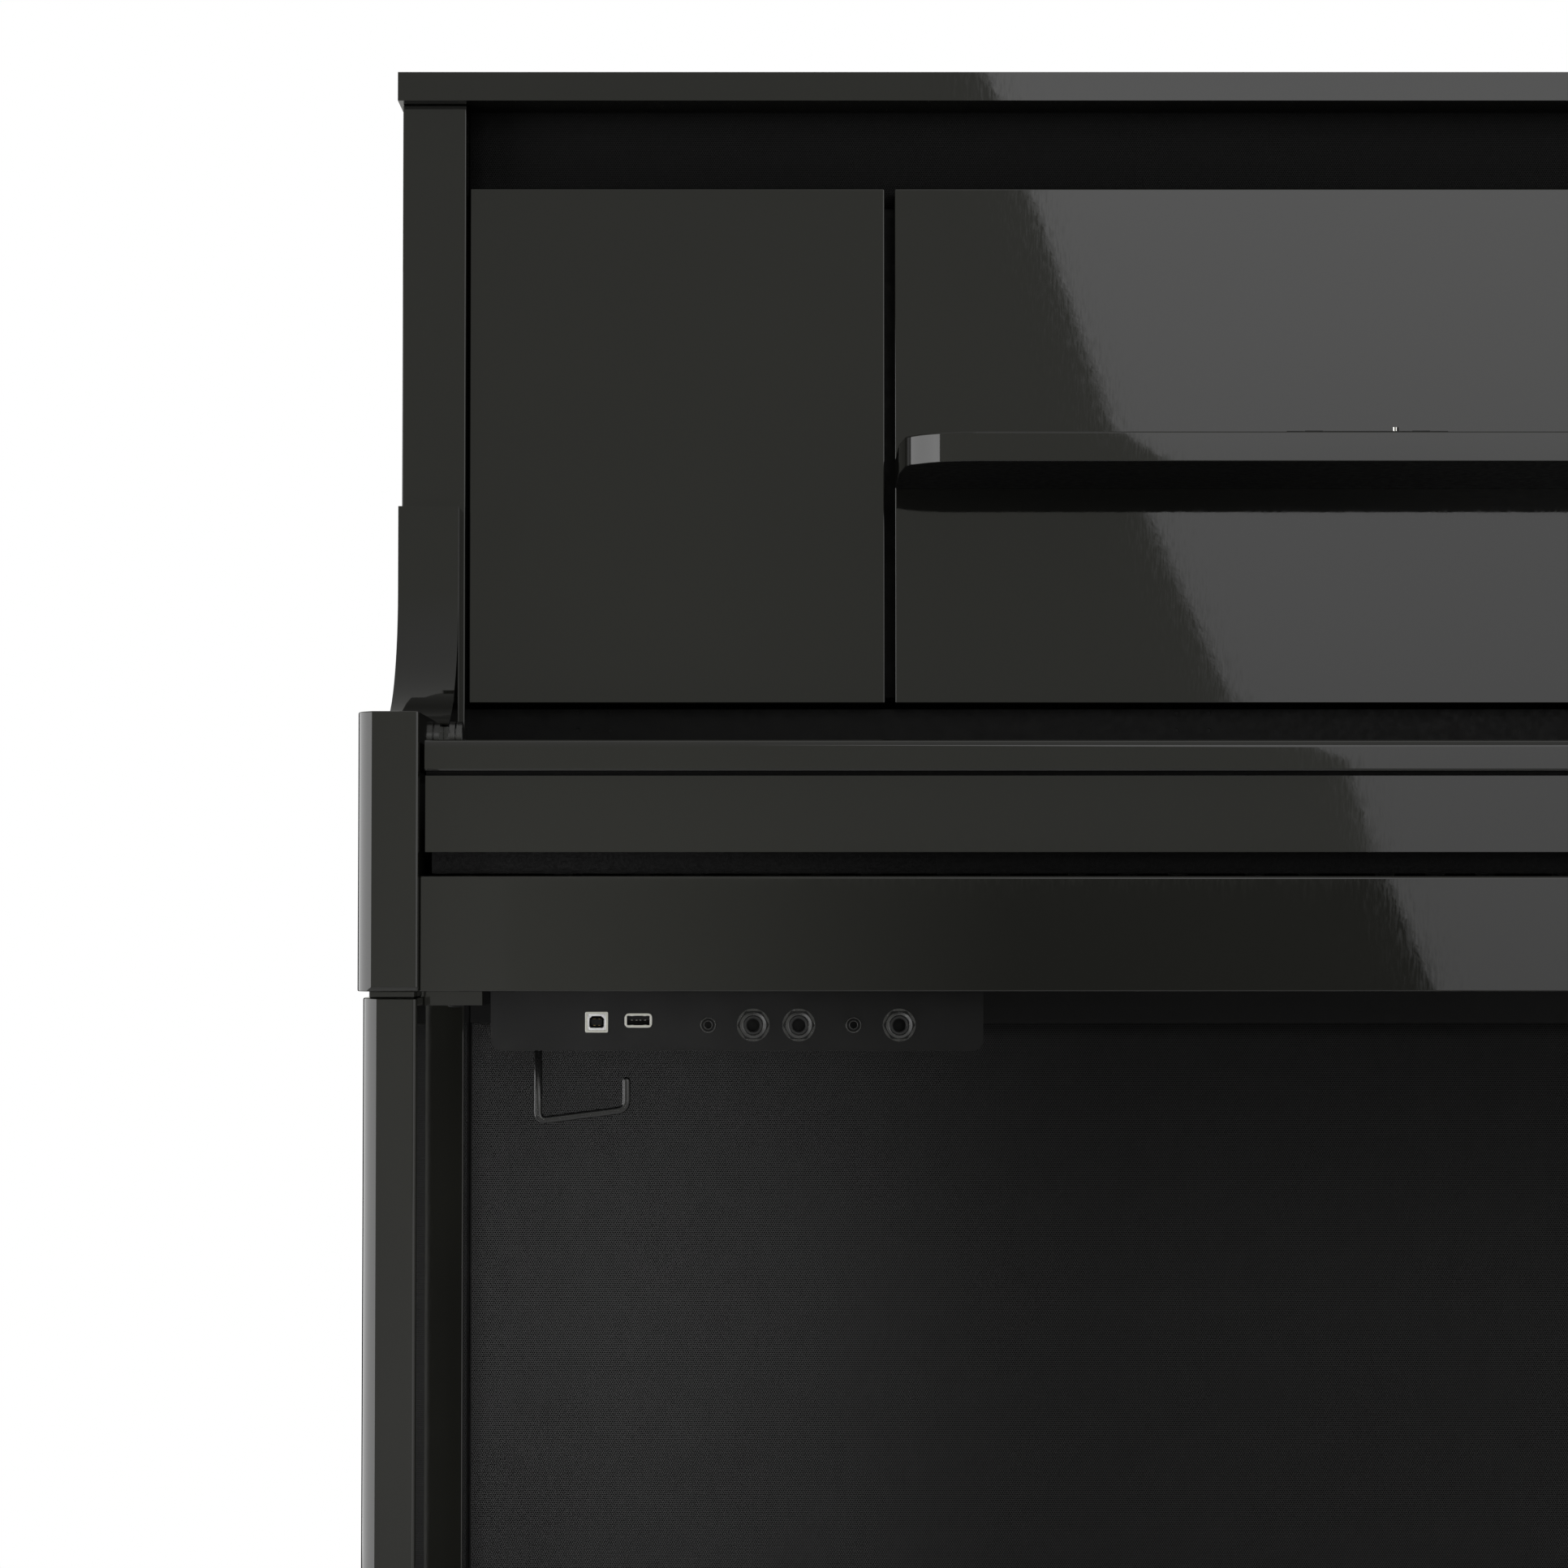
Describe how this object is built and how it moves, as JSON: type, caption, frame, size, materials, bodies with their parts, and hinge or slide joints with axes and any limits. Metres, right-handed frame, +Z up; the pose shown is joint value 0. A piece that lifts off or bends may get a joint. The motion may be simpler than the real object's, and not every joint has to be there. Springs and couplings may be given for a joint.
{
  "type": "upright digital piano",
  "caption": "Upright digital piano in polished black with a hinged fallboard and lid, a music ledge, pedals and a connector box under the keys.",
  "frame": {"origin": "on the floor under the middle of the piano's bounding box", "axes": "+Z up, +X to the player's right, the player sits on the -Y side"},
  "size_m": [1.38, 0.4908, 1.182],
  "materials": {
    "ebony_lacquer": "polished black lacquer",
    "black_board": "satin black",
    "grille_cloth": "woven black",
    "black_metal": "satin black",
    "black_plastic": "satin black",
    "steel": "zinc plated",
    "nickel": "bright",
    "brass": "polished",
    "circuit_board": "solder-masked board",
    "white_key": "ivory-like",
    "sharp_key": "ebony-like"
  },
  "bodies": {
    "cabinet": {"side_board_left": "ebony_lacquer", "side_board_right": "ebony_lacquer", "cheeks": "ebony_lacquer", "arm_left": "ebony_lacquer", "arm_right": "ebony_lacquer", "front_legs": "ebony_lacquer", "leg_brackets": "black_metal", "toe_blocks": "ebony_lacquer", "levelling_feet": "black_plastic", "bottom_board": "black_board", "bottom_rail": "ebony_lacquer", "back_panel": "black_board", "lower_baffle": "black_board", "lower_grille_cloth": "grille_cloth", "upper_baffle": "black_board", "upper_grille_cloth": "grille_cloth", "upper_side_panels": "ebony_lacquer", "music_panel": "ebony_lacquer", "music_ledge": "ebony_lacquer", "key_bed": "black_board", "key_slip": "ebony_lacquer", "key_blocks": "ebony_lacquer", "fallboard_rail": "black_board", "fallboard_hardware": "black_metal", "control_panel": "black_plastic", "jack_box": "black_metal", "sockets": "nickel", "headphone_hook": "black_metal", "speakers": "steel", "main_board": "circuit_board", "key_chassis": "steel", "pedal_box": "steel", "power_inlet": "black_plastic", "lid_hinges": "brass", "page_holder_lugs": "black_metal"},
    "top_lid": {"top_lid": "ebony_lacquer"},
    "lid_stay": {"lid_stay": "steel"},
    "page_holder_left": {"page_holder_left": "black_metal"},
    "page_holder_right": {"page_holder_right": "black_metal"},
    "fallboard": {"fallboard": "ebony_lacquer"},
    "soft_pedal": {"soft_pedal": "brass"},
    "sostenuto_pedal": {"sostenuto_pedal": "brass"},
    "damper_pedal": {"damper_pedal": "brass"},
    "keys_a": {"keys_a": "white_key"},
    "keys_a_sharp": {"keys_a_sharp": "sharp_key"},
    "keys_b": {"keys_b": "white_key"},
    "keys_c": {"keys_c": "white_key"},
    "keys_c_sharp": {"keys_c_sharp": "sharp_key"},
    "keys_d": {"keys_d": "white_key"},
    "keys_d_sharp": {"keys_d_sharp": "sharp_key"},
    "keys_e": {"keys_e": "white_key"},
    "keys_f": {"keys_f": "white_key"},
    "keys_f_sharp": {"keys_f_sharp": "sharp_key"},
    "keys_g": {"keys_g": "white_key"},
    "keys_g_sharp": {"keys_g_sharp": "sharp_key"},
    "power_button": {"power_button": "black_plastic"},
    "volume_knob": {"volume_knob": "black_plastic"},
    "tone_button": {"tone_button": "black_plastic"},
    "metronome_button": {"metronome_button": "black_plastic"},
    "play_button": {"play_button": "black_plastic"}
  },
  "joints": [
    {"name": "lid_hinge", "type": "hinge", "parent": "cabinet", "child": "top_lid", "pos_m": [0, 0.2424, 1.1665], "axis": [-1, 0, 0], "range_deg": [0, 33]},
    {"name": "lid_stay_pivot", "type": "hinge", "parent": "cabinet", "child": "lid_stay", "pos_m": [0.643, 0.172, 1.15], "axis": [-1, 0, 0], "range_deg": [0, 62.5]},
    {"name": "page_holder_left_hinge", "type": "hinge", "parent": "cabinet", "child": "page_holder_left", "pos_m": [-0.14175, -0.104, 0.9602], "axis": [1, 0, 0], "range_deg": [0, 90]},
    {"name": "page_holder_right_hinge", "type": "hinge", "parent": "cabinet", "child": "page_holder_right", "pos_m": [0.14175, -0.104, 0.9602], "axis": [1, 0, 0], "range_deg": [0, 90]},
    {"name": "fallboard_hinge", "type": "hinge", "parent": "cabinet", "child": "fallboard", "pos_m": [0, -0.0785, 0.7756], "axis": [-1, 0, 0], "range_deg": [0, 90]},
    {"name": "soft_pedal_pivot", "type": "hinge", "parent": "cabinet", "child": "soft_pedal", "pos_m": [-0.068, 0.13, 0.083], "axis": [1, 0, 0], "range_deg": [0, 5.5], "stiffness_Nm_per_rad": 20, "springref_deg": -17.19},
    {"name": "sostenuto_pedal_pivot", "type": "hinge", "parent": "cabinet", "child": "sostenuto_pedal", "pos_m": [0, 0.13, 0.083], "axis": [1, 0, 0], "range_deg": [0, 5.5], "stiffness_Nm_per_rad": 20, "springref_deg": -17.19},
    {"name": "damper_pedal_pivot", "type": "hinge", "parent": "cabinet", "child": "damper_pedal", "pos_m": [0.068, 0.13, 0.083], "axis": [1, 0, 0], "range_deg": [0, 5.5], "stiffness_Nm_per_rad": 20, "springref_deg": -17.19},
    {"name": "keys_a_pivot", "type": "hinge", "parent": "cabinet", "child": "keys_a", "pos_m": [0, -0.008, 0.693], "axis": [1, 0, 0], "range_deg": [0, 2.5], "stiffness_Nm_per_rad": 4, "springref_deg": -20.05},
    {"name": "keys_a_sharp_pivot", "type": "hinge", "parent": "cabinet", "child": "keys_a_sharp", "pos_m": [0, -0.008, 0.693], "axis": [1, 0, 0], "range_deg": [0, 2.5], "stiffness_Nm_per_rad": 4, "springref_deg": -20.05},
    {"name": "keys_b_pivot", "type": "hinge", "parent": "cabinet", "child": "keys_b", "pos_m": [0, -0.008, 0.693], "axis": [1, 0, 0], "range_deg": [0, 2.5], "stiffness_Nm_per_rad": 4, "springref_deg": -20.05},
    {"name": "keys_c_pivot", "type": "hinge", "parent": "cabinet", "child": "keys_c", "pos_m": [0, -0.008, 0.693], "axis": [1, 0, 0], "range_deg": [0, 2.5], "stiffness_Nm_per_rad": 4, "springref_deg": -20.05},
    {"name": "keys_c_sharp_pivot", "type": "hinge", "parent": "cabinet", "child": "keys_c_sharp", "pos_m": [0, -0.008, 0.693], "axis": [1, 0, 0], "range_deg": [0, 2.5], "stiffness_Nm_per_rad": 4, "springref_deg": -20.05},
    {"name": "keys_d_pivot", "type": "hinge", "parent": "cabinet", "child": "keys_d", "pos_m": [0, -0.008, 0.693], "axis": [1, 0, 0], "range_deg": [0, 2.5], "stiffness_Nm_per_rad": 4, "springref_deg": -20.05},
    {"name": "keys_d_sharp_pivot", "type": "hinge", "parent": "cabinet", "child": "keys_d_sharp", "pos_m": [0, -0.008, 0.693], "axis": [1, 0, 0], "range_deg": [0, 2.5], "stiffness_Nm_per_rad": 4, "springref_deg": -20.05},
    {"name": "keys_e_pivot", "type": "hinge", "parent": "cabinet", "child": "keys_e", "pos_m": [0, -0.008, 0.693], "axis": [1, 0, 0], "range_deg": [0, 2.5], "stiffness_Nm_per_rad": 4, "springref_deg": -20.05},
    {"name": "keys_f_pivot", "type": "hinge", "parent": "cabinet", "child": "keys_f", "pos_m": [0, -0.008, 0.693], "axis": [1, 0, 0], "range_deg": [0, 2.5], "stiffness_Nm_per_rad": 4, "springref_deg": -20.05},
    {"name": "keys_f_sharp_pivot", "type": "hinge", "parent": "cabinet", "child": "keys_f_sharp", "pos_m": [0, -0.008, 0.693], "axis": [1, 0, 0], "range_deg": [0, 2.5], "stiffness_Nm_per_rad": 4, "springref_deg": -20.05},
    {"name": "keys_g_pivot", "type": "hinge", "parent": "cabinet", "child": "keys_g", "pos_m": [0, -0.008, 0.693], "axis": [1, 0, 0], "range_deg": [0, 2.5], "stiffness_Nm_per_rad": 4, "springref_deg": -20.05},
    {"name": "keys_g_sharp_pivot", "type": "hinge", "parent": "cabinet", "child": "keys_g_sharp", "pos_m": [0, -0.008, 0.693], "axis": [1, 0, 0], "range_deg": [0, 2.5], "stiffness_Nm_per_rad": 4, "springref_deg": -20.05},
    {"name": "power_button_press", "type": "slide", "parent": "cabinet", "child": "power_button", "axis": [0, 0, -1], "range_m": [0, 0.001], "stiffness_N_per_m": 300, "springref_m": -0.002},
    {"name": "volume_knob_turn", "type": "hinge", "parent": "cabinet", "child": "volume_knob", "pos_m": [0.633, -0.19, 0.713], "axis": [0, 0, 1], "range_deg": [-140, 140]},
    {"name": "tone_button_press", "type": "slide", "parent": "cabinet", "child": "tone_button", "axis": [0, 0, -1], "range_m": [0, 0.001], "stiffness_N_per_m": 300, "springref_m": -0.002},
    {"name": "metronome_button_press", "type": "slide", "parent": "cabinet", "child": "metronome_button", "axis": [0, 0, -1], "range_m": [0, 0.001], "stiffness_N_per_m": 300, "springref_m": -0.002},
    {"name": "play_button_press", "type": "slide", "parent": "cabinet", "child": "play_button", "axis": [0, 0, -1], "range_m": [0, 0.001], "stiffness_N_per_m": 300, "springref_m": -0.002}
  ],
  "couplings": [
    {"joint": "lid_stay_pivot", "follows": "lid_hinge", "ratio": 1.88}
  ]
}
